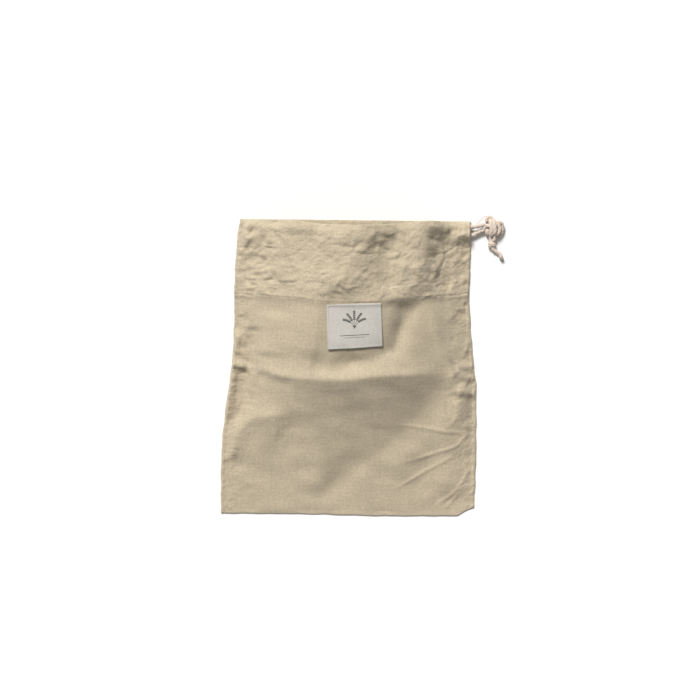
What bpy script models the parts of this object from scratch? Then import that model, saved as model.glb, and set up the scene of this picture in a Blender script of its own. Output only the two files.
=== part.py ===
"""A linen bread bag with a drawstring. It lies on its back and keeps the open, domed shape of a bag that
holds a loaf: the back lies flat, and the front rises from the base to a wide D-shaped mouth.

+X runs across the bag, +Y from its base to its mouth, and +Z up. Sizes are in millimetres up to the last
step, which scales them by MM."""

import math

import bmesh
import bpy
import numpy as np

MM = 0.001

# The cloth and its hem
CLOTH = 1.0  # thickness
GAP = 0.3  # between two pieces or layers that touch
LAYER = CLOTH + GAP  # from the middle of one lying layer to the middle of the next
LENGTH = 386.0  # of the cloth, from the base to the mouth
HEM = 98.0  # depth of the hem, from the mouth
HEM_STEP = 10.0  # the stretch over which the cloth climbs onto its hem
EDGE_TURN = 1.2  # how far the fold at the mouth stands out

# The drawstring and the channel it runs in, measured from the mouth
CORD = 6.0
PUFF = 8.8  # how far the cord pushes the channel's layers apart
FRONT_RUN, FRONT_RUN_END = 9.0, 6.6  # the cord's place in the front channel, and where it leaves
BACK_RUN, BACK_RUN_END = 24.0, 18.5
RUN_BEND = 140.0  # the stretch next to the right seam in which the cord changes its place
PUFF_WIDTH_LEFT, PUFF_WIDTH_RIGHT = 7.8, 5.9
CHANNEL_CLOSED, CHANNEL_OPEN = 3.0, 12.0  # from the left seam: shut at one, open at the other
SEAM_REACH = 30.0  # how far in from a side seam the layers lie on each other
ROOM_OVER_PUFF = 1.42  # the front clears the back's channel by this much more than its height

# The outline. Edges are given by rows of (y, x) and (x, y).
LEFT_SEAM = ((-192, -168), (-149, -168), (-110, -167), (-70, -163.5), (-30, -158), (-6, -154.5),
             (22, -152), (57, -150.5), (102, -150), (135, -148.5), (168, -146), (195, -142))
RIGHT_SEAM = ((-192, 165), (-173, 166), (-149, 167), (-110, 168), (-30, 168), (-6, 165.5),
              (22, 163), (57, 160.5), (102, 158.5), (135, 160), (195, 160.5))
BASE = ((-168, -192), (-60, -193), (60, -195.7), (138, -195.7), (150, -188.5), (168, -184))
FRONT_MOUTH = ((-142, 194), (-88, 190.5), (-24, 182.5), (22, 181), (60, 184), (101, 188.5), (161, 190.5))
BACK_MOUTH = ((-142, 194), (0, 192.5), (161, 190.5))
MID_LOW, MID_HIGH = -192.0, 192.0

# The dome: its top line, as rows of (y, height), and how it falls to the side seams
CREST = ((-193, 0), (-150, 5), (-110, 13), (-70, 25), (-35, 39), (-8, 49), (25, 53), (70, 55),
         (120, 57), (160, 57), (193, 56))
CREST_X = 8.0
BELL_TOP, BELL_SIDE = 2.3, 1.45  # how flat the dome's top is, and how softly its sides run out
FOLD_FADE = 16.0  # folds die out over this stretch next to a side seam
PUCKER_FADE = 3.0

# Folds: name, height (a trough is negative), soft width on the left and on the right of the path, path.
# Left and right are as seen by someone who walks along the path.
FOLDS = (
    ("cross_ridge", 5.0, 15, 10,
     ((-127, 0), (-111, -4), (-88, -12), (-62, -16), (-5, -17), (47, -12), (92, -10), (134, -5))),
    ("under_cross_ridge", -3.5, 6, 9, ((-122, -8), (-100, -15), (-68, -24))),
    ("slanting_trough", -5.5, 16, 12, ((-26, 8), (-4, 6), (30, 12), (50, 22), (68, 54), (97, 95), (108, 120))),
    ("mouth_ridge", 4.0, 24, 22, ((-12, 84), (-12, 125), (-8, 186), (-7, 230))),
    ("mouth_trough", -5.0, 18, 18, ((48, 88), (43, 130), (42, 188), (42, 230))),
    ("mouth_side_ridge", 3.5, 18, 12, ((90, 60), (98, 110), (102, 190), (102, 230))),
    ("mouth_side_trough", -2.5, 7, 9, ((114, 96), (118, 140), (120, 190), (120, 230))),
    ("mouth_left_ridge", 3.0, 16, 20, ((-84, 100), (-92, 140), (-88, 190), (-88, 230))),
    ("right_ridge", 5.0, 12, 9, ((105, 88), (115, 42), (129, 9), (141, -17), (147, -44), (149, -84))),
    ("left_trough", -4.0, 9, 9, ((-126, 62), (-131, 38), (-138, 3), (-144, -30))),
    ("left_bulge", 4.0, 18, 16, ((-100, 78), (-104, 40), (-108, 12))),
    ("corner_arc", 6.5, 17, 10,
     ((-160, -124), (-150, -104), (-144, -90), (-133, -72), (-117, -62), (-93, -58), (-68, -64))),
    ("base_ridge", 5.0, 18, 22, ((-57, -22), (-42, -83), (-36, -136), (-48, -172))),
    ("base_trough", -4.5, 16, 18, ((122, -30), (55, -98), (-8, -146), (-40, -170))),
    ("base_right_ridge", 3.5, 16, 14, ((136, -74), (96, -104), (48, -146))),
)
PUCKERS = (
    ("upper_right", 2.4, 5, 5, ((140, 1), (152, 0), (166, -1))),
    ("middle_right", 2.2, 4, 4, ((143, -12), (155, -14), (168, -16))),
    ("lower_right", 3.2, 6, 5, ((140, -32), (155, -34), (169, -37))),
    ("left", 2.6, 5, 4, ((-156, 1), (-146, 2), (-134, 0))),
    ("left_corner", 2.0, 5, 6, ((-168, -120), (-158, -118), (-146, -108))),
)
SAMPLES_PER_SPAN = 6
FOLD_END = 0.2  # the share of a fold's length over which each of its ends dies out

# The mesh's stations: rows measured down from the mouth, and columns in from each side seam
HEM_ROWS = (0.0, 2.5, 6.0, 9.0, 12.0, 16.0, 20.0, 24.0, 28.0, 33.0, 48.0, 64.0, 81.0, HEM)
FRONT_ROW = 11.2
BACK_ROW = 50.0
SIDE_COLUMNS = (0.0, 4.0, 8.0, 25.0)
FRONT_COLUMN = 12.6
BACK_COLUMN = 25.2
SLOT_COLUMNS = (8.0, 25.0)  # the slot through the two hems, where the cord goes from front to back
SLOT_ROWS = (2.5, 33.0)

# The label, from its middle, in the cloth's own directions
LABEL_X, LABEL_Y = 7.8, 52.6
LABEL_WIDTH, LABEL_HEIGHT, LABEL_THICK = 70.0, 57.5, 1.0
LABEL_LIFT = 1.65  # from the middle of the cloth to the middle of the label
LABEL_PROUD = 1.2  # how far its lower edge, which isn't caught by the hem, stands off
LABEL_COLUMNS, LABEL_ROWS = 8, 7
LABEL_TURN = math.radians(1.5)

# The drawstring's turn beside the left seam
TURN_INSET = 20.0  # from the left seam to where the turn starts
TURN_STEPS = 6
CORD_SEAT = 4.0  # from the middle of the back cloth to the middle of the cord that lies on it
CORD_SIDE_SKIP = 3.0  # the cord has no point closer than this to where it leaves
CORD_STEP = 2.0  # diameters from one point of a cord's solid to the next
SHORT_STEP = 1.2  # the same, on a short end that bends more

# The free cord, past the right seam
FRONT_STRAND = ((164.0, 184.2, 9.2), (168, 184.9, 8.9), (173, 185.9, 8.4), (178.3, 187.0, 7.9))
BACK_STRAND = ((164, 173.6, 4.6), (168, 175.9, 4.6), (173, 178.4, 4.7), (178.4, 180.3, 5.2))
KNOT_MIDDLE = (187.2, 183.2, 7.6)
KNOT_SIZE = (16.4, 27.0, 15.0)
TAIL = ((187.0, 170.5, 5.6), (187.0, 168.2, 5.1), (187.4, 165.9, 4.8))
TAIL_CORD = 5.4
STOPPER_MIDDLE = (188.6, 161.0, 5.0)
STOPPER_SIZE = (10.2, 9.8, 9.2)
TIP = ((190.4, 155.2, 4.3), (192.9, 152.9, 3.6), (196.8, 150.4, 3.1), (199.8, 147.6, 3.0),
       (201.3, 143.6, 3.0))
END = ((197.6, 190.0, 7.8), (199.9, 189.0, 6.9), (201.5, 187.9, 5.7), (202.3, 183.4, 4.6),
       (201.6, 178.6, 3.8), (199.2, 174.4, 3.5), (196.0, 171.6, 3.4))

LINEN = (0.60, 0.50, 0.36)
COTTON_LABEL = (0.70, 0.68, 0.63)
COTTON_CORD = (0.66, 0.58, 0.47)


def clear_scene():
    for item in list(bpy.data.objects):
        bpy.data.objects.remove(item, do_unlink=True)


def finish(name, colour, roughness):
    material = bpy.data.materials.new(name)
    material.use_nodes = True
    shader = material.node_tree.nodes["Principled BSDF"]
    shader.inputs["Base Color"].default_value = (*colour, 1)
    shader.inputs["Roughness"].default_value = roughness
    shader.inputs["Metallic"].default_value = 0
    return material


def ease(share):
    share = np.clip(share, 0, 1)
    return share * share * (3 - 2 * share)


def through(rows, at):
    """The smooth curve through rows of (place, value), read at the given places."""
    places, values = np.array(rows, float).T
    steps = np.diff(values) / np.diff(places)
    turning = steps[:-1] * steps[1:] <= 0
    middle = np.where(turning, 0, 2 * steps[:-1] * steps[1:] / np.where(turning, 1, steps[:-1] + steps[1:]))
    slopes = np.concatenate([steps[:1], middle, steps[-1:]])
    span = np.clip(np.searchsorted(places, at) - 1, 0, len(places) - 2)
    width = places[span + 1] - places[span]
    t = np.clip((at - places[span]) / width, 0, 1)
    return (values[span] * (1 + 2 * t) * (1 - t) ** 2 + values[span + 1] * t * t * (3 - 2 * t)
            + width * (slopes[span] * t * (1 - t) ** 2 - slopes[span + 1] * t * t * (1 - t)))


def smooth_path(points, per_span):
    points = np.array(points, float)
    places = np.arange(len(points))
    at = np.linspace(0, len(points) - 1, (len(points) - 1) * per_span + 1)
    return np.stack([through(np.stack([places, axis], 1), at) for axis in points.T], 1)


def fold_height(x, y, height, left, right, path):
    """One soft ridge or trough along its path, with its own width on either side."""
    line = smooth_path(path, SAMPLES_PER_SPAN)
    nearest = np.full(np.shape(x), np.inf)
    side = np.zeros(np.shape(x))
    along = np.zeros(np.shape(x))
    for index, (start, end) in enumerate(zip(line[:-1], line[1:])):
        run = end - start
        share = np.clip(((x - start[0]) * run[0] + (y - start[1]) * run[1]) / (run @ run), 0, 1)
        off_x, off_y = x - start[0] - share * run[0], y - start[1] - share * run[1]
        distance = np.hypot(off_x, off_y)
        closer = distance < nearest
        nearest = np.where(closer, distance, nearest)
        side = np.where(closer, run[0] * off_y - run[1] * off_x, side)
        along = np.where(closer, (index + share) / (len(line) - 1), along)
    width = np.where(side > 0, left, right)
    ends = ease(along / FOLD_END) * ease((1 - along) / FOLD_END)
    return height * np.exp(-((nearest / width) ** 2)) * ends


def plan(u, v, mouth):
    """Where the point at the share u of the width and v of the length lies, seen from above."""
    middle = MID_LOW + v * (MID_HIGH - MID_LOW)
    left, right = through(LEFT_SEAM, middle), through(RIGHT_SEAM, middle)
    x = left + u * (right - left)
    low = through(BASE, x)
    return x, low + v * (through(mouth, x) - low)


def width_at(v):
    middle = MID_LOW + v * (MID_HIGH - MID_LOW)
    return through(RIGHT_SEAM, middle) - through(LEFT_SEAM, middle)


def run_place(u, v, run, run_end):
    """The cord's distance from the mouth, which changes next to the right seam."""
    return run + (run_end - run) * ease(1 - (1 - u) * width_at(v) / RUN_BEND)


def puff(u, v, run, run_end):
    """How far the cord pushes its two layers apart."""
    down = (1 - v) * LENGTH
    soft = PUFF_WIDTH_LEFT + (PUFF_WIDTH_RIGHT - PUFF_WIDTH_LEFT) * u
    from_left = u * width_at(v)
    opened = ease((from_left - CHANNEL_CLOSED) / (CHANNEL_OPEN - CHANNEL_CLOSED))
    return PUFF * np.exp(-(((down - run_place(u, v, run, run_end)) / soft) ** 2)) * opened


def on_hem(v):
    return ease((HEM + HEM_STEP - (1 - v) * LENGTH) / (HEM_STEP - 1))


def lying_share(u, v):
    """1 beside a side seam, where the layers lie flat on each other, and 0 over the bag's room."""
    from_seam = np.minimum(u, 1 - u) * width_at(v)
    return np.exp(-((from_seam / SEAM_REACH) ** 2))


def front_shape(u, v):
    """The front's dome and folds, without the swelling that the drawstring gives its channel."""
    x, y = plan(u, v, FRONT_MOUTH)
    width = width_at(v)
    left, right = x - u * width, x + (1 - u) * width
    half = np.where(x < CREST_X, CREST_X - left, right - CREST_X)
    bell = (1 - np.clip(np.abs(x - CREST_X) / half, 0, 1) ** BELL_TOP) ** BELL_SIDE
    from_seam = np.minimum(u, 1 - u) * width
    folds = sum(fold_height(x, y, *fold[1:]) for fold in FOLDS) * ease(from_seam / FOLD_FADE)
    puckers = sum(fold_height(x, y, *fold[1:]) for fold in PUCKERS) * ease(from_seam / PUCKER_FADE)
    base_rise = ease((v * LENGTH) / HEM_STEP)
    rise = through(CREST, y) * bell + np.maximum(folds + puckers, -0.85 * through(CREST, y) * bell)
    return np.stack([x, y, CLOTH / 2 + LAYER + 2 * LAYER * on_hem(v) + rise * base_rise], -1)


def front_point(u, v):
    """The middle of the front cloth's outer layer."""
    lying = lying_share(u, v)
    cord_room = puff(u, v, FRONT_RUN, FRONT_RUN_END) * (1 + lying) / 2
    back_room = puff(u, v, BACK_RUN, BACK_RUN_END) * lying * ROOM_OVER_PUFF
    swell = outward(front_shape, u, v) * cord_room[..., None]
    return front_shape(u, v) + swell + np.array((0, 0, 1)) * back_room[..., None]


def back_point(u, v):
    """The middle of the back cloth's outer layer, which lies flat."""
    x, y = plan(u, v, BACK_MOUTH)
    return np.stack([x, y, np.full(np.shape(x), CLOTH / 2)], -1)


def normal_at(point, u, v):
    step = 1e-4
    across = point(np.minimum(u + step, 1), v) - point(np.maximum(u - step, 0), v)
    along = point(u, np.minimum(v + step, 1)) - point(u, np.maximum(v - step, 0))
    normal = np.cross(across, along)
    return normal / np.linalg.norm(normal, axis=-1, keepdims=True)


def columns(spacing):
    """Shares of the width: close together beside the seams, where the layers lie on each other."""
    width = width_at(1.0)
    inner = np.linspace(SIDE_COLUMNS[-1], width - SIDE_COLUMNS[-1],
                        round((width - 2 * SIDE_COLUMNS[-1]) / spacing) + 1)
    far = width - np.array(SIDE_COLUMNS[:-1])[::-1]
    return np.concatenate([SIDE_COLUMNS[:-1], inner, far]) / width


def rows(spacing):
    """Shares of the length, from the base up to the mouth."""
    rest = LENGTH - HEM
    body = np.linspace(0, rest - HEM_STEP, round(rest / spacing) + 1)
    return np.concatenate([body, [rest - 1.5], LENGTH - np.array(HEM_ROWS)[::-1]]) / LENGTH


def outward(shape, u, v):
    """Square to the cloth over the bag's room, and upright beside the seams."""
    lying = lying_share(u, v)[..., None]
    direction = normal_at(shape, u, v) * (1 - lying) + np.array((0, 0, 1)) * lying
    return direction / np.linalg.norm(direction, axis=-1, keepdims=True)


def front_hem(u, v):
    """The middle of the front's hem, which lies inside its outer layer and leaves room for the cord."""
    apart = LAYER + puff(u, v, FRONT_RUN, FRONT_RUN_END)
    return front_point(u, v) - outward(front_shape, u, v) * apart[..., None]


def back_hem(u, v):
    """The same for the back, whose inner side is its upper one."""
    return back_point(u, v) + np.array((0, 0, 1)) * (LAYER + puff(u, v, BACK_RUN, BACK_RUN_END))[..., None]


def cloth_rows(point, hem_point, spacing_u, spacing_v):
    """The whole cloth as rows of points: up the outer layer, over the fold at the mouth, down the hem."""
    u_columns, v_rows = columns(spacing_u), rows(spacing_v)
    grid = [point(u_columns, np.full(len(u_columns), v)) for v in v_rows]
    hem_v = 1 - np.array(HEM_ROWS) / LENGTH
    hem = [hem_point(u_columns, np.full(len(u_columns), v)) for v in hem_v]
    fold = (grid[-1] + hem[0]) / 2 + np.array((0, EDGE_TURN, 0))
    slots = [None] * len(grid) + list(HEM_ROWS)
    return u_columns, grid + [fold] + hem, slots


def in_slot(from_left, down):
    """Whether a face of the hem falls in the slot that the cord goes through beside the left seam."""
    if down[0] is None or down[1] is None:
        return False
    return (SLOT_COLUMNS[0] <= from_left[0] + 0.1 and from_left[1] - 0.1 <= SLOT_COLUMNS[1]
            and SLOT_ROWS[0] <= down[0] and down[1] <= SLOT_ROWS[1])


def sheet(name, points, faces, thickness, material):
    """A sheet of cloth of an even thickness, around the surface that runs through its middle."""
    mesh = bpy.data.meshes.new(name)
    shape = bmesh.new()
    corners = [shape.verts.new(point * MM) for point in points]
    for face in faces:
        shape.faces.new([corners[index] for index in face])
    shape.to_mesh(mesh)
    shape.free()
    mesh.materials.append(material)
    mesh.shade_smooth()
    item = bpy.data.objects.new(name, mesh)
    bpy.context.scene.collection.objects.link(item)
    solid = item.modifiers.new("Thickness", "SOLIDIFY")
    solid.thickness = thickness * MM
    solid.offset = 0
    return item


def make_panel(name, point, hem_point, spacing_u, spacing_v, material):
    u_columns, grid, down = cloth_rows(point, hem_point, spacing_u, spacing_v)
    down.insert(len(grid) - len(HEM_ROWS) - 1, None)
    from_left = u_columns * width_at(1.0)
    count = len(u_columns)
    faces = []
    for row in range(len(grid) - 1):
        for column in range(count - 1):
            if in_slot(from_left[column:column + 2], down[row:row + 2]):
                continue
            first = row * count + column
            faces.append((first, first + 1, first + count + 1, first + count))
    return sheet(name, np.concatenate(grid), faces, CLOTH, material)


def front_at(x, y):
    """The front cloth's points and outward directions over places in the plan."""
    u, v = np.full(x.shape, 0.5), np.full(x.shape, 0.5)
    for _ in range(12):
        here_x, here_y = plan(u, v, FRONT_MOUTH)
        u = u + (x - here_x) / width_at(v)
        v = v + (y - here_y) / LENGTH
    return front_point(u, v), normal_at(front_shape, u, v)


def make_label(material):
    """The label follows the cloth, and its free lower edge stands a little proud."""
    down, across = np.meshgrid(np.linspace(0, 1, LABEL_ROWS + 1), np.linspace(-0.5, 0.5, LABEL_COLUMNS + 1),
                               indexing="ij")
    along, across = (0.5 - down) * LABEL_HEIGHT, across * LABEL_WIDTH
    x = LABEL_X + across * math.cos(LABEL_TURN) - along * math.sin(LABEL_TURN)
    y = LABEL_Y + across * math.sin(LABEL_TURN) + along * math.cos(LABEL_TURN)
    places, normals = front_at(x, y)
    points = (places + normals * (LABEL_LIFT + LABEL_PROUD * down ** 4)[..., None]).reshape(-1, 3)
    faces = []
    for row in range(LABEL_ROWS):
        for column in range(LABEL_COLUMNS):
            first = row * (LABEL_COLUMNS + 1) + column
            faces.append((first, first + LABEL_COLUMNS + 1, first + LABEL_COLUMNS + 2, first + 1))
    return sheet("label", points, faces, LABEL_THICK, material)


def channel_point(u, front):
    """The middle of the cord in one of the two channels, at the shares u of the width."""
    if front:
        v = 1 - run_place(u, 1.0, FRONT_RUN, FRONT_RUN_END) / LENGTH
        return (front_point(u, v) + front_hem(u, v)) / 2
    v = 1 - run_place(u, 1.0, BACK_RUN, BACK_RUN_END) / LENGTH
    return back_point(u, v) + np.array((0, 0, CORD_SEAT))


def drawstring_route():
    """From the knot through the front channel, round beside the left seam, and back behind."""
    width = width_at(1.0)
    inner = [u for u in columns(FRONT_COLUMN) if TURN_INSET < u * width < width - CORD_SIDE_SKIP]
    shares = np.array([TURN_INSET / width] + inner + [1.0])[::-1]
    front = channel_point(shares, True)
    back = channel_point(shares[::-1], False)
    start, end = front[-1], back[0]
    middle, radius = (start + end) / 2, (start[1] - end[1]) / 2
    turn = []
    for step in range(1, TURN_STEPS):
        angle = math.pi * step / TURN_STEPS
        share = math.sin(angle / 2)
        turn.append(np.array((middle[0] - radius * math.sin(angle), middle[1] + radius * math.cos(angle),
                              start[2] + (end[2] - start[2]) * share)))
    leave_front = even_points(FRONT_STRAND[::-1], CORD_STEP * CORD)
    leave_back = even_points(BACK_STRAND, CORD_STEP * CORD)
    return [*leave_front, *front, *turn, *back, *leave_back]


def even_points(route, spacing):
    """Points a fixed distance apart on the smooth curve through a route."""
    line = smooth_path(route, 8)
    lengths = np.concatenate([[0], np.cumsum(np.linalg.norm(np.diff(line, axis=0), axis=1))])
    count = max(2, round(lengths[-1] / spacing))
    at = np.linspace(0, lengths[-1], count + 1)
    return np.stack([np.interp(at, lengths, axis) for axis in line.T], 1)


def make_cord(name, points, diameter, material):
    curve = bpy.data.curves.new(name, "CURVE")
    curve.dimensions = "3D"
    curve.bevel_depth = diameter / 2 * MM
    curve.bevel_resolution = 2
    curve.use_fill_caps = True
    spline = curve.splines.new("POLY")
    spline.points.add(len(points) - 1)
    for target, point in zip(spline.points, points):
        target.co = (*(np.array(point) * MM), 1)
    curve.materials.append(material)
    item = bpy.data.objects.new(name, curve)
    bpy.context.scene.collection.objects.link(item)
    return item


def make_knot(name, middle, size, wraps, slant, material):
    """A pulled-tight knot: a rounded lump with a few turns of cord showing as shallow waves."""
    mesh = bpy.data.meshes.new(name)
    shape = bmesh.new()
    bmesh.ops.create_icosphere(shape, subdivisions=3, radius=1)
    for vertex in shape.verts:
        wave = math.cos(wraps * math.pi * (vertex.co.y + slant * vertex.co.x))
        swell = 0.93 + 0.07 * wave * (1 - abs(vertex.co.y) ** 4)
        vertex.co = [axis * swell * length / 2 * MM for axis, length in zip(vertex.co, size)]
    shape.to_mesh(mesh)
    shape.free()
    mesh.materials.append(material)
    mesh.shade_smooth()
    item = bpy.data.objects.new(name, mesh)
    item.location = [axis * MM for axis in middle]
    bpy.context.scene.collection.objects.link(item)
    return item


def main():
    clear_scene()
    linen = finish("linen", LINEN, 0.9)
    label = finish("label_cotton", COTTON_LABEL, 0.85)
    cotton = finish("cord_cotton", COTTON_CORD, 0.9)
    make_panel("front_panel", front_point, front_hem, FRONT_COLUMN, FRONT_ROW, linen)
    make_panel("back_panel", back_point, back_hem, BACK_COLUMN, BACK_ROW, linen)
    make_label(label)
    make_cord("drawstring", drawstring_route(), CORD, cotton)
    make_knot("tie_knot", KNOT_MIDDLE, KNOT_SIZE, 2.5, 0.5, cotton)
    make_cord("tie_end", even_points(END, SHORT_STEP * CORD), CORD, cotton)
    make_cord("tie_tail", even_points(TAIL, SHORT_STEP * TAIL_CORD), TAIL_CORD, cotton)
    make_knot("stopper_knot", STOPPER_MIDDLE, STOPPER_SIZE, 2.0, 0.6, cotton)
    make_cord("tie_tip", even_points(TIP, SHORT_STEP * TAIL_CORD), TAIL_CORD, cotton)


main()
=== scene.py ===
"""The looks of a linen bread bag that lies on its back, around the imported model.

The cloth is made as two dense sheets on the solids' dome. Its folds began as theirs and were changed to
match the photo, so they differ from the solids by up to about 10 mm. The creases, crumples, seams and
stitches are only here. Sizes are in millimetres up to the last step, which scales them
by MM. A place on the cloth is u, the share of the width from the left seam, and down, its distance from the
mouth."""

import math

import bpy
import numpy as np
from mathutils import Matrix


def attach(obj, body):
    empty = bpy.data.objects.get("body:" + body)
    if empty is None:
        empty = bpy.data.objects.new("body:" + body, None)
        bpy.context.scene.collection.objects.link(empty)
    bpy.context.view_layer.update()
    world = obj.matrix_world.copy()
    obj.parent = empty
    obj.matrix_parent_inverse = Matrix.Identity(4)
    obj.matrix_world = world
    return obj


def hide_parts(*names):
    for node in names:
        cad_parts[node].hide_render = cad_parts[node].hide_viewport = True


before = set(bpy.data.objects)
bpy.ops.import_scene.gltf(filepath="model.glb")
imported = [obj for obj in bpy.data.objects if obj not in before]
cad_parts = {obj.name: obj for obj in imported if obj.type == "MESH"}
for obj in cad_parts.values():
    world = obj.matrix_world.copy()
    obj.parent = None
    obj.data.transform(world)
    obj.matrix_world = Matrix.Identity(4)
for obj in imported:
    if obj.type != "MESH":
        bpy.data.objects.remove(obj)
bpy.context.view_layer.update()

MM = 0.001
UP = np.array((0.0, 0.0, 1.0))

# The cloth and its hem
CLOTH = 0.8  # thickness
LAYER = 1.05  # from the middle of one lying layer to the middle of the next
LENGTH = 386.0  # from the base to the mouth
FLAT_WIDTH = 336.0
HEM = 99.5  # depth of the hem, from the mouth
HEM_BOW, HEM_TILT = 5.0, 3.0  # how much deeper the hem is in the middle, and less deep at the right
HEM_STEP = 6.0  # the stretch over which the cloth climbs onto its hem
FOLD_TURN = 0.9  # how far the fold at the mouth stands out
FOLD_LENGTH, FOLD_STEPS = 1.4, 5  # the fold's length on the cloth, and its rows in the mesh
SEAM_REACH = 30.0  # how far in from a side seam the layers lie on each other

# The drawstring and the channel it runs in
CORD = 6.0
PUFF = 8.8  # how far the cord pushes the channel's layers apart
OUTWARD_PUFF = 0.3  # the share of it that the outer layer takes over the bag's room
FRONT_RUN, BACK_RUN = (9.0, 6.6), (24.0, 18.5)  # the cord's distance from the mouth, and at the right seam
RUN_BEND = 140.0  # the stretch over which it changes
PUFF_WIDTH_LEFT, PUFF_WIDTH_RIGHT = 7.8, 5.9
CHANNEL_CLOSED, CHANNEL_OPEN = 3.0, 12.0
ROOM_OVER_PUFF = 1.12
PUFF_BELOW = 1.5  # how much softer the swelling runs out below the cord than above it
SLOT_ACROSS, SLOT_DOWN = (8.0, 25.0), (2.5, 33.0)  # the slot through the two hems beside the left seam
SLOT_SLACK = 0.9  # how far past its ends a mesh face may reach

# The outline. Edges are given by rows of (y, x) and (x, y).
LEFT_SEAM = ((-192, -168), (-149, -168), (-110, -167), (-70, -163.5), (-30, -158), (-6, -154.5),
             (22, -152), (57, -150.5), (102, -150), (135, -148.5), (168, -146), (195, -142))
RIGHT_SEAM = ((-192, 165), (-173, 166), (-149, 167), (-110, 168), (-30, 168), (-6, 165.5),
              (22, 163), (57, 160.5), (102, 158.5), (135, 160), (195, 160.5))
BASE = ((-168, -192), (-60, -193), (60, -195.7), (141, -195.7), (152.5, -190), (168, -183.4))
FRONT_MOUTH = ((-142, 194), (-88, 190.5), (-24, 182.5), (22, 181), (60, 184), (101, 188.5), (161, 190.5))
BACK_MOUTH = ((-142, 194), (0, 192.5), (161, 190.5))
MID_LOW, MID_HIGH = -192.0, 192.0

# The dome: its top line, as rows of (y, height), and how it falls to the side seams
CREST = ((-193, 0), (-150, 5), (-110, 13), (-70, 25), (-35, 39), (-8, 49), (25, 53), (70, 55),
         (120, 57), (160, 57), (193, 56))
CREST_X = 8.0
BELL_TOP, BELL_SIDE = 2.3, 1.45  # powers: how broad its top is, and how steep its sides
BASE_STEP = 10.0  # the stretch over which the dome starts at the base
FOLD_FADE, PUCKER_FADE = 16.0, 3.0  # how far in from a side seam they reach their full height
DEEPEST = 0.85  # the share of the dome's height that a trough can take

# Folds: name, height (a trough is negative), soft width on the left and on the right of the path, path, and
# a power when it isn't SOFT. Left and right are as seen by someone who walks along the path.
SOFT, SHARP = 1.7, 1.15  # powers of a fold's profile
CREST_ROUND = 0.8  # radius of the sharpest crest
FOLDS = (
    ("cross_ridge", 6.6, 10, 21,
     ((-127, 0), (-111, -4), (-88, -11), (-62, -14), (-5, -15), (47, -11), (92, -9), (134, -5)), SHARP),
    ("under_cross_ridge", -3.5, 6, 9, ((-122, -8), (-100, -15), (-68, -24))),
    ("under_label", -4.2, 18, 15, ((-52, 4), (-34, 1), (-14, -1), (4, 4), (18, 12))),
    ("label_left_ridge", 3.6, 30, 13, ((-48, 6), (-43, 40), (-39, 80), (-34, 122))),
    ("mouth_hollow", -1.6, 14, 12, ((20, 148), (38, 149), (52, 153), (70, 162))),
    ("label_side_trough", -5.0, 13, 9, ((70, 92), (69, 60), (64, 30), (56, 12))),
    ("slanting_trough", -5.5, 16, 12,
     ((-26, 8), (-4, 6), (30, 12), (50, 22), (68, 54), (97, 95), (108, 120))),
    ("mouth_ridge", 7.5, 34, 20, ((-9, 84), (-6, 118), (-1, 141), (14, 180), (18, 230))),
    ("mouth_trough", -7.5, 17, 20, ((50, 88), (47, 118), (50, 141), (62, 180), (64, 230))),
    ("mouth_side_ridge", 6.5, 20, 13, ((95, 66), (99, 110), (98, 141), (100, 165), (108, 190), (110, 230))),
    ("mouth_side_trough", -6.0, 13, 18,
     ((122, 84), (124, 110), (121, 141), (124, 165), (134, 190), (136, 230))),
    ("mouth_left_ridge", 3.0, 16, 20, ((-84, 100), (-92, 140), (-88, 190), (-88, 230))),
    ("right_ridge", 6.5, 13, 8, ((105, 88), (115, 42), (129, 9), (139, -17), (145, -44), (147, -84)), 1.4),
    ("left_trough", -5.5, 7, 14, ((-121, 56), (-123, 40), (-127, 16), (-133, -4)), SHARP),
    ("left_bulge", 4.0, 18, 16, ((-100, 78), (-104, 40), (-108, 12))),
    ("corner_arc", 7.0, 15, 19,
     ((-160, -124), (-150, -104), (-145, -90), (-134, -74), (-117, -65), (-93, -63), (-68, -70)), 1.25),
    ("base_ridge", 4.0, 18, 22, ((-57, -22), (-42, -83), (-36, -136), (-48, -172))),
    ("base_trough", -3.4, 16, 18, ((122, -30), (55, -98), (-8, -146), (-40, -170))),
    ("low_right_ridge", 6.4, 26, 16, ((125, -34), (129, -90), (129, -130), (132, -178))),
    ("base_right_ridge", 2.6, 16, 14, ((136, -74), (96, -104), (48, -146))),
)
PUCKERS = (
    ("upper_right", 3.4, 5, 4, ((140, 1), (152, 0), (166, -1))),
    ("middle_right", 3.0, 4, 3.5, ((143, -12), (155, -14), (168, -16))),
    ("lower_right", 4.0, 6, 4.5, ((140, -32), (155, -34), (169, -37))),
    ("left", 4.2, 5, 4, ((-158, 2), (-147, 3), (-132, 1))),
    ("left_edge_roll", 5.8, 5, 8, ((-161, -78), (-157, -44), (-153.5, -12), (-151, 4))),
    ("left_pleat", 5.6, 5, 11, ((-153, -4), (-150, 12), (-147, 32), (-145, 52)), SHARP),
    ("left_valley", -6.0, 10, 6, ((-147, -78), (-142, -46), (-137, -16), (-134, 0))),
    ("left_corner", 2.0, 5, 6, ((-168, -120), (-158, -118), (-146, -108))),
)
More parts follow.
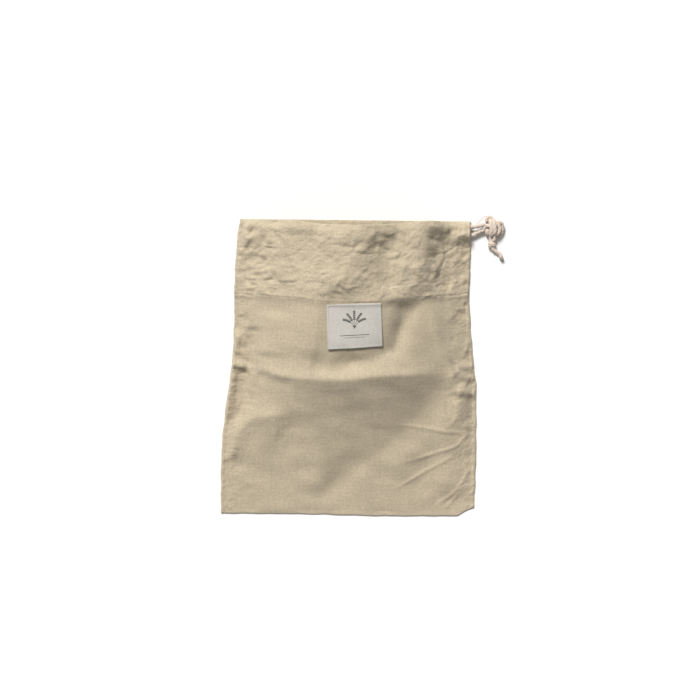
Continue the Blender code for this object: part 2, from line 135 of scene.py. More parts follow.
# Sharp creases that the solids leave out, written in the same way
CREASES = (
    ("flank_upper", 1.10, 1.0, 1.9, ((61.4, -73.9), (101, -79.2), (130, -84.5), (156, -85.8))),
    ("flank_bowed", 1.30, 1.0, 2.0, ((68, -126.7), (110, -113.5), (143, -101.6), (152.5, -91), (160, -85.8))),
    ("flank_middle", 1.10, 1.0, 1.9, ((53.5, -165), (97, -138.6), (123.4, -124), (139, -115))),
    ("corner_long", 1.30, 1.1, 2.2, ((112.9, -183.5), (140.6, -162.4), (149.8, -149.2), (160.4, -130.7))),
    ("corner_short", 1.0, 1.1, 1.9, ((123.4, -190), (143, -167.6), (152.5, -151.8))),
)
SAMPLES_PER_SPAN, ROUTE_SAMPLES = 6, 8  # points between two of a fold's, and of a cord's, own
FOLD_END = 0.2  # the share of a fold's length over which each of its ends dies out

# Scattered crumples: place, how many, lowest and highest x, lowest and highest y, height, length, width
CRUMPLES = (
    ("band_left", 140, -148, -96, 92, 190, 1.55, 7.0, 2.1),
    ("band_middle", 190, -96, 108, 92, 190, 1.30, 9.0, 2.5),
    ("band_right", 120, 108, 158, 92, 190, 1.20, 7.0, 2.0),
    ("band_rows", 26, -140, 150, 96, 186, 0.95, 24, 3.2),
    ("left_side", 50, -160, -124, -60, 90, 1.35, 9, 2.2),
    ("right_side", 54, 130, 166, -90, 90, 1.35, 9, 2.2),
    ("lower_left", 24, -166, -118, -190, -60, 0.55, 14, 2.6),
    ("lower_right", 22, 110, 164, -190, -90, 0.45, 16, 2.4),
    ("body", 90, -130, 130, -188, 84, 0.36, 18, 3.0),
)
WAVES = 26  # gentle unevenness of the whole cloth: how many, their lengths and their height
WAVE_SHORTEST, WAVE_LONGEST, WAVE_HEIGHT = 26.0, 100.0, 0.12
# How a crumple varies from its row's length, width and height, and how much it bends
LONG_RANGE, WIDE_RANGE, TALL_RANGE, CRUMPLE_BEND = (0.5, 1.5), (0.6, 1.5), (0.4, 1.3), 0.02
CRUMPLE_REACH = 2.6  # lengths from its middle to where it is cut off
GENTLE_SIDE, STEEP_SIDE, CRUMPLE_POWER = 1.6, 0.7, 1.4

# Seams, rims and lines of stitches
RIM_WIDTH, RIM_FALL, RIM_HEIGHT = 3.4, 1.8, 0.8  # the seam allowance inside makes the edge thick
SEAM_GROOVE = 4.7  # where the rim ends
ROLL = 1.6  # the edge turns down over this much
SEAM_GAP = 0.02  # between each sheet's face and the plane in which they meet
SIDE_WOBBLE, BASE_WOBBLE, WOBBLE_FADE = 0.22, 0.15, 12.0  # how far a seam strays from its smooth line
WOBBLE_LENGTHS, WOBBLE_WAVES = (9, 52), 8  # shortest and longest wave, and how many
HEM_INSET = 2.6  # the hem inside ends this far from the side seams
CHANNEL_LINE, SECOND_LINE, HEM_LINE = 36.0, 79.0, 97.6
STITCH_LINES = {"channel": (CHANNEL_LINE, 0.4), "second": (SECOND_LINE, 2.1), "hem": (HEM_LINE, 4.0)}
LINE_SWAYS = ((0.45, 9, 1), (0.2, 31, 2))  # how lines stray: height, radians across, times the phase
GROOVE_WIDTH = 1.0
GROOVES = (("channel", 0.238), ("second", 0.17), ("hem", 0.34))  # how deep each line is pulled in
HEM_RIDGE, HEM_RIDGE_WIDTH, HEM_RIDGE_ABOVE = 0.20, 1.4, 2.6  # the turned edge beside the hem's stitches
# Uneven sines: length, and the size and length of the drift in their phase
GATHER_WAVE, RIPPLE_WAVE = (1.9, 3.0, FLAT_WIDTH / 40), (10.5 / (2 * math.pi), 2.2, 13.0)
RIM_WAVE = (11.3, 2.0, 37.0)
GATHER_HEIGHT, GATHER_DOWN, GATHER_IN, GATHER_FADE = 0.35, 9.0, 45.0, 6.0  # beside the channel's line
RIPPLE_HEIGHT, RIPPLE_IN, RIPPLE_FADE = 0.3, 5.0, 2.5  # along the side seams
SEAM_GROOVE_DEPTH, SEAM_GROOVE_WIDTH = 0.45, 0.9
RIM_UNEVEN, RIM_LESS_ON_HEM, BASE_RIM = 0.25, 0.4, 0.2  # shares of the rim's height
CALM_SIDE, CALM_BASE = 5.0, 6.0  # creases and crumples fade out next to an edge
BACK_CALM_SIDE, BACK_CALM_BASE = 60.0, 90.0  # and the back lies flat
BACK_LIFT, BACK_WAVES = 0.35, 0.5  # the back's own height and its share of the waves
INNER_CRUMPLES, INNER_CALM, INNER_GROOVE = 0.6, 8.0, 0.25  # the same for the back's hem, and its stitch lines
LABEL_CALM, LABEL_CALM_REACH, LABEL_CALM_POWER = 0.85, 1.75, 8  # nor has it many under the label
STITCH_LENGTH, STITCH_STEP, STITCH_WIDTH, STITCH_HEIGHT = 2.4, 3.1, 0.46, 0.30
STITCH_SIDES = 6
STITCH_PROFILE = ((-0.5, 0.25), (-0.34, 0.8), (0.0, 1.0), (0.34, 0.8), (0.5, 0.25))  # along it, and how thick

# The mesh's stations in from an edge, and where the finer ones of the creased side and base start
EDGE_STATIONS = (0, 0.4, 0.9, 1.6, 2.5, 3.6, 4.8, 6.2)
EDGE_GAP, CLOSEST = 1.4, 0.3  # from the last of them to the next, and the smallest gap of all
RIGHT_SIDE, CREASED_FROM = 190.0, 255.0

# The label
LABEL_X, LABEL_Y = 7.8, 52.6
LABEL_WIDTH, LABEL_HEIGHT, LABEL_THICK = 70.0, 57.5, 0.55
LABEL_LIFT = 1.15  # from the middle of the cloth to the middle of the label
LABEL_PROUD = 0.9  # how far its lower edge stands off
LABEL_TURN = math.radians(1.5)
LABEL_STEP = 1.25
LABEL_SKEW = 2.6  # how much shorter its right side looks than its left
LABEL_EDGE = 1.3  # width of its turned-under edges
LABEL_EDGE_RISE, LABEL_EDGE_SOFT = 0.3, 0.8
LABEL_LEVEL = 0.8  # how much more upright than the cloth's its directions are
LABEL_RIPPLE, LABEL_RIPPLE_LENGTH, LABEL_BOW = 0.35, 6.1, 0.5
LABEL_STITCH_INSET = 1.9
PRINT_RAISED = 2.6  # how far above the label's middle the motif's is
STALK, TIE_BAND = 0.22, 0.55  # half widths in the motif

# The drawstring's turn beside the left seam
TURN_INSET = 20.0
TURN_STEPS = 6
CORD_SEAT = 4.0
CORD_SIDE_SKIP = 3.0
RUN_COLUMN = 12.6

# The free cord, past the right seam
FRONT_STRAND = ((164.0, 184.2, 9.2), (168, 184.9, 8.9), (173, 185.9, 8.4), (178.3, 187.0, 7.9))
BACK_STRAND = ((164, 173.6, 4.6), (168, 175.9, 4.6), (173, 178.4, 4.7), (178.4, 180.3, 5.2))
KNOT_MIDDLE = (187.2, 183.2, 7.6)
TAIL = ((187.0, 170.5, 5.6), (187.0, 168.2, 5.1), (187.4, 165.9, 4.8))
TAIL_CORD = 5.4
# A twisted cord: its strands' core, lobes and their power, and the rounded end's and its tip's share of the
# diameter
STRAND_CORE, STRAND_LOBE, STRAND_POWER = 0.80, 0.22, 0.8
ROUND_END, CORD_TIP = 0.4, 0.12
WRAP_STEPS, WRAP_DIP, WRAP_RISE = 16, 0.35, 3.2  # points a turn, and how its ends dip into the knot
FIBRES, FIBRE_THICK, FIBRE_REACH, FIBRE_LOWEST = 46, 0.55, (3.4, 4.8), 0.35
STOPPER_MIDDLE = (188.6, 161.0, 5.0)
TIP = ((190.4, 155.2, 4.3), (192.9, 152.9, 3.6), (196.8, 150.4, 3.1), (199.8, 147.6, 3.0),
       (201.3, 143.6, 3.0))
END = ((197.6, 190.0, 7.8), (199.9, 189.0, 6.9), (201.5, 187.9, 5.7), (202.3, 183.4, 4.6),
       (201.6, 178.6, 3.8), (199.2, 174.4, 3.5), (196.0, 171.6, 3.4))

# Camera and light
IMAGE_MIDDLE = (2.0, 23.1)
CAMERA_HEIGHT = 2000.0
LENS, SENSOR = 78.0, 36.0

LINEN = (0.478, 0.405, 0.293)
THREAD = (0.60, 0.52, 0.42)
LABEL_COTTON = (0.525, 0.503, 0.46)
CORD_COTTON = (0.66, 0.56, 0.475)
TIP_COTTON = (0.36, 0.33, 0.29)
HEM_BAND_PAINTED_LIGHT = 0.055  # painted light: how much lighter the hem band's colour is made
PRINT = (0.10, 0.10, 0.09)
FLOOR = (0.865, 0.865, 0.865)
SUN_POWER, SUN_COLOUR, SUN_SIZE = 4.12, (1.0, 0.985, 0.955), math.radians(20)
SUN_TURN = (math.radians(-40), math.radians(-22), 0)
ROOM_POWER, ROOM_COLOUR = 0.285, (0.97, 0.985, 1.0)
FLOOR_REACH = 30000.0


# ---------------------------------------------------------------- curves, folds and the bag's shape

def ease(share):
    share = np.clip(share, 0, 1)
    return share * share * (3 - 2 * share)


def hump(offset, width):
    """1 at no offset, falling off softly over the width."""
    return np.exp(-((offset / width) ** 2))


def through(rows, at):
    """The smooth curve through rows of (place, value), read at the given places."""
    places, values = np.array(rows, float).T
    steps = np.diff(values) / np.diff(places)
    turning = steps[:-1] * steps[1:] <= 0
    middle = np.where(turning, 0, 2 * steps[:-1] * steps[1:] / np.where(turning, 1, steps[:-1] + steps[1:]))
    slopes = np.concatenate([steps[:1], middle, steps[-1:]])
    span = np.clip(np.searchsorted(places, at) - 1, 0, len(places) - 2)
    width = places[span + 1] - places[span]
    t = np.clip((at - places[span]) / width, 0, 1)
    return (values[span] * (1 + 2 * t) * (1 - t) ** 2 + values[span + 1] * t * t * (3 - 2 * t)
            + width * (slopes[span] * t * (1 - t) ** 2 - slopes[span + 1] * t * t * (1 - t)))


def smooth_path(points, per_span):
    points = np.array(points, float)
    places = np.arange(len(points))
    at = np.linspace(0, len(points) - 1, (len(points) - 1) * per_span + 1)
    return np.stack([through(np.stack([places, axis], 1), at) for axis in points.T], 1)


def lengths_along(line):
    return np.concatenate([[0], np.cumsum(np.linalg.norm(np.diff(line, axis=0), axis=1))])


def even_points(route, spacing):
    """Points a fixed distance apart on the smooth curve through a route."""
    line = smooth_path(route, ROUTE_SAMPLES)
    lengths = lengths_along(line)
    count = max(2, round(lengths[-1] / spacing))
    at = np.linspace(0, lengths[-1], count + 1)
    return np.stack([np.interp(at, lengths, axis) for axis in line.T], 1)


def fold_height(x, y, height, left, right, path, power=SOFT):
    """One ridge or trough along its path, with its own width on either side. A low power makes it sharp."""
    line = smooth_path(path, SAMPLES_PER_SPAN)
    reach = 3 * max(left, right)
    low, high = line.min(0) - reach, line.max(0) + reach
    near = (x > low[0]) & (x < high[0]) & (y > low[1]) & (y < high[1])
    x_near, y_near = x[near], y[near]
    nearest = np.full(x_near.shape, np.inf)
    side = np.zeros(x_near.shape)
    along = np.zeros(x_near.shape)
    for index, (start, end) in enumerate(zip(line[:-1], line[1:])):
        run = end - start
        share = np.clip(((x_near - start[0]) * run[0] + (y_near - start[1]) * run[1]) / (run @ run), 0, 1)
        off_x, off_y = x_near - start[0] - share * run[0], y_near - start[1] - share * run[1]
        distance = np.hypot(off_x, off_y)
        closer = distance < nearest
        nearest = np.where(closer, distance, nearest)
        side = np.where(closer, run[0] * off_y - run[1] * off_x, side)
        along = np.where(closer, (index + share) / (len(line) - 1), along)
    width = np.where(side > 0, left, right)
    ends = ease(along / FOLD_END) * ease((1 - along) / FOLD_END)
    result = np.zeros(x.shape)
    rounded = np.hypot(nearest, CREST_ROUND) - CREST_ROUND
    result[near] = height * np.exp(-((rounded / width) ** power)) * ends
    return result


def share_up(u, down):
    """v, the share of the length from the base. The rows bow, as the hem's lower edge does."""
    bow = HEM_BOW * np.sin(math.pi * u) - HEM_TILT * u
    return 1 - (down + bow * np.minimum(down / HEM, (LENGTH - down) / (LENGTH - HEM))) / LENGTH


def seams_at(v):
    """Where the two side seams are, in x."""
    middle = MID_LOW + v * (MID_HIGH - MID_LOW)
    return through(LEFT_SEAM, middle), through(RIGHT_SEAM, middle)


def plan(u, v, mouth):
    """Where a place on the cloth is, seen from above."""
    left, right = seams_at(v)
    x = left + u * (right - left)
    low = through(BASE, x)
    return x, low + v * (through(mouth, x) - low)


def width_at(v):
    left, right = seams_at(v)
    return right - left


def edge_distance(u, v):
    return np.minimum(u, 1 - u) * width_at(v)


def run_place(u, run):
    """The cord's distance from the mouth, which changes next to the right seam."""
    return run[0] + (run[1] - run[0]) * ease(1 - (1 - u) * width_at(1.0) / RUN_BEND)


def puff(u, down, run):
    """How far the cord pushes its two layers apart."""
    place = run_place(u, run)
    soft = PUFF_WIDTH_LEFT + (PUFF_WIDTH_RIGHT - PUFF_WIDTH_LEFT) * u
    soft = soft * np.where(down > place, PUFF_BELOW, 1)
    opened = ease((u * width_at(1.0) - CHANNEL_CLOSED) / (CHANNEL_OPEN - CHANNEL_CLOSED))
    return PUFF * hump(down - place, soft) * opened


def on_hem(down):
    return ease((HEM + HEM_STEP - down) / HEM_STEP)


def stacked(down):
    """How far the front is above the back where all their layers lie on each other."""
    return LAYER * (1 + 2 * on_hem(down))


def lying_share(u, v):
    """1 beside a side seam, where the layers lie flat on each other, and 0 over the bag's room."""
    return hump(edge_distance(u, v), SEAM_REACH)


def swell_share(lying):
    """How much of the cord's room the outer layer takes: all of it where the layers lie on each other."""
    return OUTWARD_PUFF + (1 - OUTWARD_PUFF) * lying


def channel_room(u, down, normals):
    """How flat the layers lie, the way out of the cloth, the front channel's swelling, and how far the back
    one's lifts the front."""
    lying = lying_share(u, share_up(u, down))[..., None]
    outward = unit(normals * (1 - lying) + UP * lying)
    room, back_room = (puff(u, down, run)[..., None] for run in (FRONT_RUN, BACK_RUN))
    return lying, outward, room, back_room * lying * ROOM_OVER_PUFF


def front_shape(u, down):
    """The front's dome and folds, without the swelling that the drawstring gives its channel."""
    v = share_up(u, down)
    x, y = plan(u, v, FRONT_MOUTH)
    width = width_at(v)
    left, right = x - u * width, x + (1 - u) * width
    half = np.where(x < CREST_X, CREST_X - left, right - CREST_X)
    bell = (1 - np.clip(np.abs(x - CREST_X) / half, 0, 1) ** BELL_TOP) ** BELL_SIDE
    from_seam = edge_distance(u, v)
    folds = sum(fold_height(x, y, *fold[1:]) for fold in FOLDS) * ease(from_seam / FOLD_FADE)
    puckers = sum(fold_height(x, y, *fold[1:]) for fold in PUCKERS) * ease(from_seam / PUCKER_FADE)
    crest = through(CREST, y) * bell
    rise = (crest + np.maximum(folds + puckers, -DEEPEST * crest)) * ease(v * LENGTH / BASE_STEP)
    hem = LAYER * (1 + lying_share(u, v)) * on_hem(down)
    return np.stack([x, y, CLOTH / 2 + LAYER + hem + rise], -1)


def back_shape(u, down):
    x, y = plan(u, share_up(u, down), BACK_MOUTH)
    return np.stack([x, y, np.full(x.shape, CLOTH / 2)], -1)


class Surface:
    """A grid of points on the cloth, in rows from the mouth down, with the directions square to it."""

    def __init__(self, u, down, points):
        self.u, self.down, self.points = u, down, points
        along, across = np.gradient(points, axis=(0, 1))
        self.normals = unit(np.cross(across, -along))

    def at(self, u, down):
        """Points and normals between the grid's own."""
        u, down = np.broadcast_arrays(np.asarray(u, float), np.asarray(down, float))
        column = np.clip(np.searchsorted(self.u, u) - 1, 0, len(self.u) - 2)
        row = np.clip(np.searchsorted(self.down, down) - 1, 0, len(self.down) - 2)
        s = np.clip((u - self.u[column]) / (self.u[column + 1] - self.u[column]), 0, 1)[..., None]
        t = np.clip((down - self.down[row]) / (self.down[row + 1] - self.down[row]), 0, 1)[..., None]
        found = []
        for grid in (self.points, self.normals):
            upper = grid[row, column] * (1 - s) + grid[row, column + 1] * s
            lower = grid[row + 1, column] * (1 - s) + grid[row + 1, column + 1] * s
            found.append(upper * (1 - t) + lower * t)
        return found[0], unit(found[1])


def unit(vectors):
    return vectors / np.maximum(np.linalg.norm(vectors, axis=-1, keepdims=True), 1e-9)


# ---------------------------------------------------------------- the cloth's fine relief

def waves(x, y, seed):
    """Gentle unevenness: soft waves that run every way."""
    chance = np.random.default_rng(seed)
    height = np.zeros(x.shape)
    for _ in range(WAVES):
        turn, phase = chance.uniform(0, 2 * math.pi, 2)
        share = chance.uniform()
        number = 2 * math.pi / (WAVE_SHORTEST + (WAVE_LONGEST - WAVE_SHORTEST) * share)
        height += np.sin(number * (x * math.cos(turn) + y * math.sin(turn)) + phase)
    return WAVE_HEIGHT * height


def crumples(x, y, seed):
    """Short, bent creases with a steep and a soft side, scattered over the places of the table."""
    chance = np.random.default_rng(seed)
    total = np.zeros(x.shape)
    for _, count, x_low, x_high, y_low, y_high, height, length, width in CRUMPLES:
        for _ in range(count):
            middle_x, middle_y = chance.uniform(x_low, x_high), chance.uniform(y_low, y_high)
            turn, bend = chance.uniform(0, math.pi), chance.normal(0, CRUMPLE_BEND)
            long, wide = length * chance.uniform(*LONG_RANGE), width * chance.uniform(*WIDE_RANGE)
            tall = height * chance.uniform(*TALL_RANGE) * chance.choice((-1, 1))
            off_x, off_y = x - middle_x, y - middle_y
            near = np.hypot(off_x, off_y) < CRUMPLE_REACH * long
            along = off_x[near] * math.cos(turn) + off_y[near] * math.sin(turn)
            off = off_y[near] * math.cos(turn) - off_x[near] * math.sin(turn) + bend * along ** 2
            soft = np.where(off > 0, wide * GENTLE_SIDE, wide * STEEP_SIDE)
            total[near] += tall * np.exp(-((along / long) ** 2) - np.abs(off / soft) ** CRUMPLE_POWER)
    return total


def line_place(name, u):
    """How far down a line of stitches lies; none is quite straight."""
    line, phase = STITCH_LINES[name]
    return line + sum(height * np.sin(turns * u + share * phase) for height, turns, share in LINE_SWAYS)


def grooves(u, down, depths):
    """The dips that the stitches pull into the cloth."""
    total = np.zeros(u.shape)
    for name, depth in depths:
        total -= depth * hump(down - line_place(name, u), GROOVE_WIDTH)
    return total


def rim(distance):
    """The thick edge over a seam allowance, as it rises from the edge and falls off inside."""
    return RIM_HEIGHT * ease(distance / ROLL) * ease((RIM_WIDTH + RIM_FALL - distance) / RIM_FALL)


def drifting(place, length, drift, drift_length):
    """A sine whose phase drifts, so that its waves are uneven."""
    return np.sin(place / length + drift * np.sin(place / drift_length))


def front_relief(u, down, shape):
    """How far the front's fine detail stands out from its folds."""
    x, y = shape[..., 0], shape[..., 1]
    v = share_up(u, down)
    from_side, from_base = edge_distance(u, v), v * LENGTH
    creases = sum(fold_height(x, y, *crease[1:]) for crease in CREASES)
    loose = waves(x, y, 3) + crumples(x, y, 11)
    from_label = np.maximum(np.abs(x - LABEL_X) / LABEL_WIDTH, np.abs(y - LABEL_Y) / LABEL_HEIGHT)
    under_label = np.exp(-(from_label * LABEL_CALM_REACH) ** LABEL_CALM_POWER)
    calm = ease(from_side / CALM_SIDE) * ease(from_base / CALM_BASE) * (1 - LABEL_CALM * under_label)
    ridge = HEM_RIDGE * hump(down - HEM_LINE + HEM_RIDGE_ABOVE, HEM_RIDGE_WIDTH)
    gather = (GATHER_HEIGHT * drifting(u * FLAT_WIDTH, *GATHER_WAVE)
              * hump(down - CHANNEL_LINE, GATHER_DOWN) * hump(from_side, GATHER_IN))
    ripple = RIPPLE_HEIGHT * drifting(y, *RIPPLE_WAVE) * hump(from_side - RIPPLE_IN, RIPPLE_IN)
    uneven = 1 - RIM_UNEVEN + RIM_UNEVEN * drifting(y, *RIM_WAVE)
    seam_groove = SEAM_GROOVE_DEPTH * hump(from_side - SEAM_GROOVE, SEAM_GROOVE_WIDTH)
    side_rim = rim(from_side) * (1 - RIM_LESS_ON_HEM * on_hem(down)) - seam_groove
    return ((creases + loose) * calm + ridge + grooves(u, down, GROOVES)
            + gather * ease(from_side / GATHER_FADE) + ripple * ease(from_side / RIPPLE_FADE)
            + side_rim * uneven + BASE_RIM * rim(from_base))


def wobble(points, u, v, seed):
    """The seams and the base stray a little from their smooth lines."""
    chance = np.random.default_rng(seed)
    moved = points.copy()
    for axis, place, fade, reach in ((0, points[..., 1], edge_distance(u, v), SIDE_WOBBLE),
                                     (1, points[..., 0], v * LENGTH, BASE_WOBBLE)):
        stray = sum(np.sin(2 * math.pi * place / chance.uniform(*WOBBLE_LENGTHS) + chance.uniform(0, 6))
                    for _ in range(WOBBLE_WAVES))
        moved[..., axis] += reach * stray / 2 * hump(fade, WOBBLE_FADE)
    return moved


def roll_edges(points, u, v, down, face):
    """At the side seams and the base the two sheets turn towards each other and meet face to face."""
    meet = stacked(down) / 2 + CLOTH / 2 + face * (CLOTH / 2 + SEAM_GAP)
    distance = np.minimum(edge_distance(u, v), v * LENGTH)
    turned = np.sqrt(1 - (1 - np.clip(distance / ROLL, 0, 1)) ** 2)
    points[..., 2] = meet + (points[..., 2] - meet) * turned
    return points


# ---------------------------------------------------------------- meshes

def stations(runs, fine=(), fine_spacing=0.8, reach=3.2):
    """Stations in runs of (start, stop, spacing), with closer ones around the places of the fine list."""
    places = [place for start, stop, spacing in runs
              for place in np.linspace(start, stop, round((stop - start) / spacing) + 1)]
    for middle in fine:
        places = [place for place in places if abs(place - middle) > reach]
        places += list(np.linspace(middle - reach, middle + reach, round(2 * reach / fine_spacing) + 1))
    places = np.unique(np.round(places, 4))
    return places[np.append(True, np.diff(places) > CLOSEST)]


def across_shares(spacing, right_spacing):
    """Shares of the width: closest beside the seams, and closer over the creased right side than the left."""
    width = width_at(1.0)
    inner = stations(((EDGE_STATIONS[-1] + EDGE_GAP, RIGHT_SIDE, spacing),
                      (RIGHT_SIDE + right_spacing, width - EDGE_STATIONS[-1] - EDGE_GAP, right_spacing)))
    return np.concatenate([EDGE_STATIONS, inner, width - np.array(EDGE_STATIONS[::-1])]) / width


def down_stations(band_spacing, spacing, base_spacing, fine_spacing):
    body = stations(((0, HEM, band_spacing), (HEM + spacing, CREASED_FROM, spacing),
                     (CREASED_FROM + base_spacing, LENGTH - EDGE_STATIONS[-1] - EDGE_GAP, base_spacing)),
                    (CHANNEL_LINE, SECOND_LINE, HEM_LINE), fine_spacing)
    return np.concatenate([body, LENGTH - np.array(EDGE_STATIONS[::-1])])


def new_object(name, vertices, faces, material, uv=None, smooth=True):
    mesh = bpy.data.meshes.new(name)
    mesh.from_pydata((np.asarray(vertices) * MM).tolist(), [], faces)
    if uv is not None:
        layer = mesh.uv_layers.new(name="cloth")
        corner = np.zeros(len(mesh.loops), np.int32)
        mesh.loops.foreach_get("vertex_index", corner)
        layer.data.foreach_set("uv", (np.asarray(uv)[corner] * MM).astype(np.float32).ravel())
    mesh.materials.append(material)
    if smooth:
        mesh.shade_smooth()
    item = bpy.data.objects.new(name, mesh)
    bpy.context.scene.collection.objects.link(item)
    return item


def thick_grid(name, points, uv, thickness, material, hole=None):
    """A closed sheet of an even thickness around a grid of points, with an optional hole."""
    row_count, column_count = points.shape[:2]
    along, across = np.gradient(points, axis=(0, 1))
    normals = unit(np.cross(across, along))
    index = np.arange(row_count * column_count).reshape(row_count, column_count)
    quads = np.stack([index[:-1, :-1], index[:-1, 1:], index[1:, 1:], index[1:, :-1]], -1)
    quads = quads.reshape(-1, 4) if hole is None else quads[~hole]
    used = np.unique(quads)
    renumber = np.full(index.size, -1)
    renumber[used] = np.arange(len(used))
    quads = renumber[quads]
    middle, normal = points.reshape(-1, 3)[used], normals.reshape(-1, 3)[used]
    count = len(used)
    starts, ends = quads.ravel(), np.roll(quads, -1, axis=1).ravel()
    open_edge = ~np.isin(starts * count + ends, ends * count + starts)
    starts, ends = starts[open_edge], ends[open_edge]
    sides = np.stack([ends, starts, starts + count, ends + count], -1)
    faces = np.concatenate([quads, quads[:, ::-1] + count, sides])
    vertices = np.concatenate([middle + normal * thickness / 2, middle - normal * thickness / 2])
    flat_uv = uv.reshape(-1, 2)[used]
    return new_object(name, vertices, faces.tolist(), material, np.concatenate([flat_uv, flat_uv]))


def panel(name, outer, hem, fold_direction, material):
    """The whole cloth: up the outer layer, over the fold at the mouth, and down the hem inside."""
    hem_points, hem_down = hem.points, hem.down
    upper = outer.points[::-1]
    first, last = upper[-1], hem_points[0]
    middle, half = (first + last) / 2, (first - last) / 2
    fold = [middle + half * math.cos(angle) + fold_direction * FOLD_TURN * math.sin(angle)
            for angle in np.linspace(0, math.pi, FOLD_STEPS + 2)[1:-1]]
    points = np.concatenate([upper, np.array(fold), hem_points])
    along = np.concatenate([LENGTH - outer.down[::-1],
                            LENGTH + np.linspace(0.2, FOLD_LENGTH - 0.2, FOLD_STEPS),
                            LENGTH + FOLD_LENGTH + hem_down])
    uv = np.stack(np.broadcast_arrays(outer.u[None, :] * FLAT_WIDTH, along[:, None]), -1)
    across = outer.u * width_at(1.0)
    in_across = (across[:-1] >= SLOT_ACROSS[0] - SLOT_SLACK) & (across[1:] <= SLOT_ACROSS[1] + SLOT_SLACK)
    in_down = np.zeros(len(along) - 1, bool)
    in_down[len(upper) + FOLD_STEPS:] = ((hem_down[:-1] >= SLOT_DOWN[0])
                                         & (hem_down[1:] <= SLOT_DOWN[1] + SLOT_SLACK))
    return thick_grid(name, points, uv, CLOTH, material, in_down[:, None] & in_across[None, :])


def inset_shares(u, down, v):
    """The hem lies a little in from the side seams, except at the fold that it hangs from."""
    inset = HEM_INSET * ease(down / 5) / width_at(v)
    return inset + u * (1 - 2 * inset)


def hem_grid(u_line, spacing):
    """The hem's own stations, and the shares of the width over which they lie."""
    down_line = stations(((0, HEM, spacing),), (CHANNEL_LINE, HEM_LINE - 1), 1.1)
    u, down = np.meshgrid(u_line, down_line[down_line <= HEM])
    return u, down, inset_shares(u, down, share_up(u, down))


def make_front(material):
    u_line, down_line = across_shares(2.35, 1.75), down_stations(1.85, 2.3, 1.75, 0.85)
    u, down = np.meshgrid(u_line, down_line)
    v = share_up(u, down)
    shape = Surface(u_line, down_line, front_shape(u, down))
    lying, outward, room, back_room = channel_room(u, down, shape.normals)
    cord_room = room * swell_share(lying)
    relief = front_relief(u, down, shape.points)[..., None]
    points = shape.points + outward * (cord_room + relief) + UP * back_room
    lowest = CLOTH / 2 + stacked(down) + puff(u, down, FRONT_RUN) + puff(u, down, BACK_RUN)
    points[..., 2] = np.maximum(points[..., 2], lowest)
    points = roll_edges(wobble(points, u, v, 5), u, v, down, 1)
    outer = Surface(u_line, down_line, points)

    _, hem_down, inner_u = hem_grid(u_line, 2.6)
    directions = unit(Surface(u_line, down_line, outward).at(inner_u, hem_down)[0])
    apart = LAYER + puff(inner_u, hem_down, FRONT_RUN)
    hem_points = outer.at(inner_u, hem_down)[0] - directions * apart[..., None]
    hem_points[..., 2] = np.maximum(hem_points[..., 2], LAYER + CLOTH / 2)
    hem = Surface(u_line, hem_down[:, 0], hem_points)
    return panel("front_cloth", outer, hem, unit(points[0] - points[2]), material), outer, hem


def make_back(material):
    u_line, down_line = across_shares(2.7, 2.7), down_stations(2.6, 3.0, 3.0, 1.1)
    u, down = np.meshgrid(u_line, down_line)
    v = share_up(u, down)
    points = back_shape(u, down)
    calm = ease(edge_distance(u, v) / BACK_CALM_SIDE) * ease(v * LENGTH / BACK_CALM_BASE)
    points[..., 2] += np.maximum(0, BACK_LIFT + BACK_WAVES * waves(points[..., 0], points[..., 1], 17)) * calm
    points = roll_edges(wobble(points, u, v, 5), u, v, down, -1)
    outer = Surface(u_line, down_line, points)

    hem_u, hem_down, inner_u = hem_grid(u_line, 2.2)
    places = outer.at(inner_u, hem_down)[0]
    apart = LAYER + puff(inner_u, hem_down, BACK_RUN)
    pressed = crumples(places[..., 0], places[..., 1], 23)
    apart += np.maximum(0, INNER_CRUMPLES * pressed) * ease(edge_distance(hem_u, 1.0) / INNER_CALM)
    apart += INNER_GROOVE * grooves(hem_u, hem_down, (("channel", 1), ("hem", 1)))
    hem = Surface(u_line, hem_down[:, 0], places + UP * apart[..., None])
    return panel("back_cloth", outer, hem, unit(points[0] - points[2]), material), hem


def stitches(name, lines, material):
    """Stitches as small smooth beads along lines of (points, normals), joined into one piece."""
    sides, profile = STITCH_SIDES, STITCH_PROFILE
    ring = [(math.cos(angle), math.sin(angle)) for angle in np.linspace(0, 2 * math.pi, sides + 1)[:-1]]
    vertices, faces = [], []
    for points, normals in lines:
        lengths = lengths_along(points)
        count = int(lengths[-1] / STITCH_STEP)
        for middle in (np.arange(count) + 0.5) * lengths[-1] / count:
            place, ahead, behind = (np.array([np.interp(at, lengths, axis) for axis in points.T])
                                    for at in (middle, middle + 1, middle - 1))
            normal = unit(np.array([np.interp(middle, lengths, axis) for axis in normals.T]))
            forward = unit(ahead - behind)
            side = np.cross(normal, forward)
            first = len(vertices)
            for along, swell in profile:
                for across, rise in ring:
                    vertices.append(place + forward * along * STITCH_LENGTH
                                    + side * across * swell * STITCH_WIDTH / 2
                                    + normal * (rise * swell + 0.5) * STITCH_HEIGHT / 2)
            for row in range(len(profile) - 1):
                for corner in range(sides):
                    a, b = first + row * sides + corner, first + row * sides + (corner + 1) % sides
                    faces.append((a, b, b + sides, a + sides))
            faces.append(tuple(first + corner for corner in reversed(range(sides))))
            faces.append(tuple(first + (len(profile) - 1) * sides + corner for corner in range(sides)))
    return new_object(name, vertices, faces, material)


def stitch_line(surface, name, side):
    """A line of stitches across the cloth, on its outer (1) or inner (-1) face."""
    u = np.linspace(0.016, 0.984, 400)
    points, normals = surface.at(u, line_place(name, u))
    return points + normals * side * (CLOTH / 2 - 0.08), normals * side


# ---------------------------------------------------------------- the label

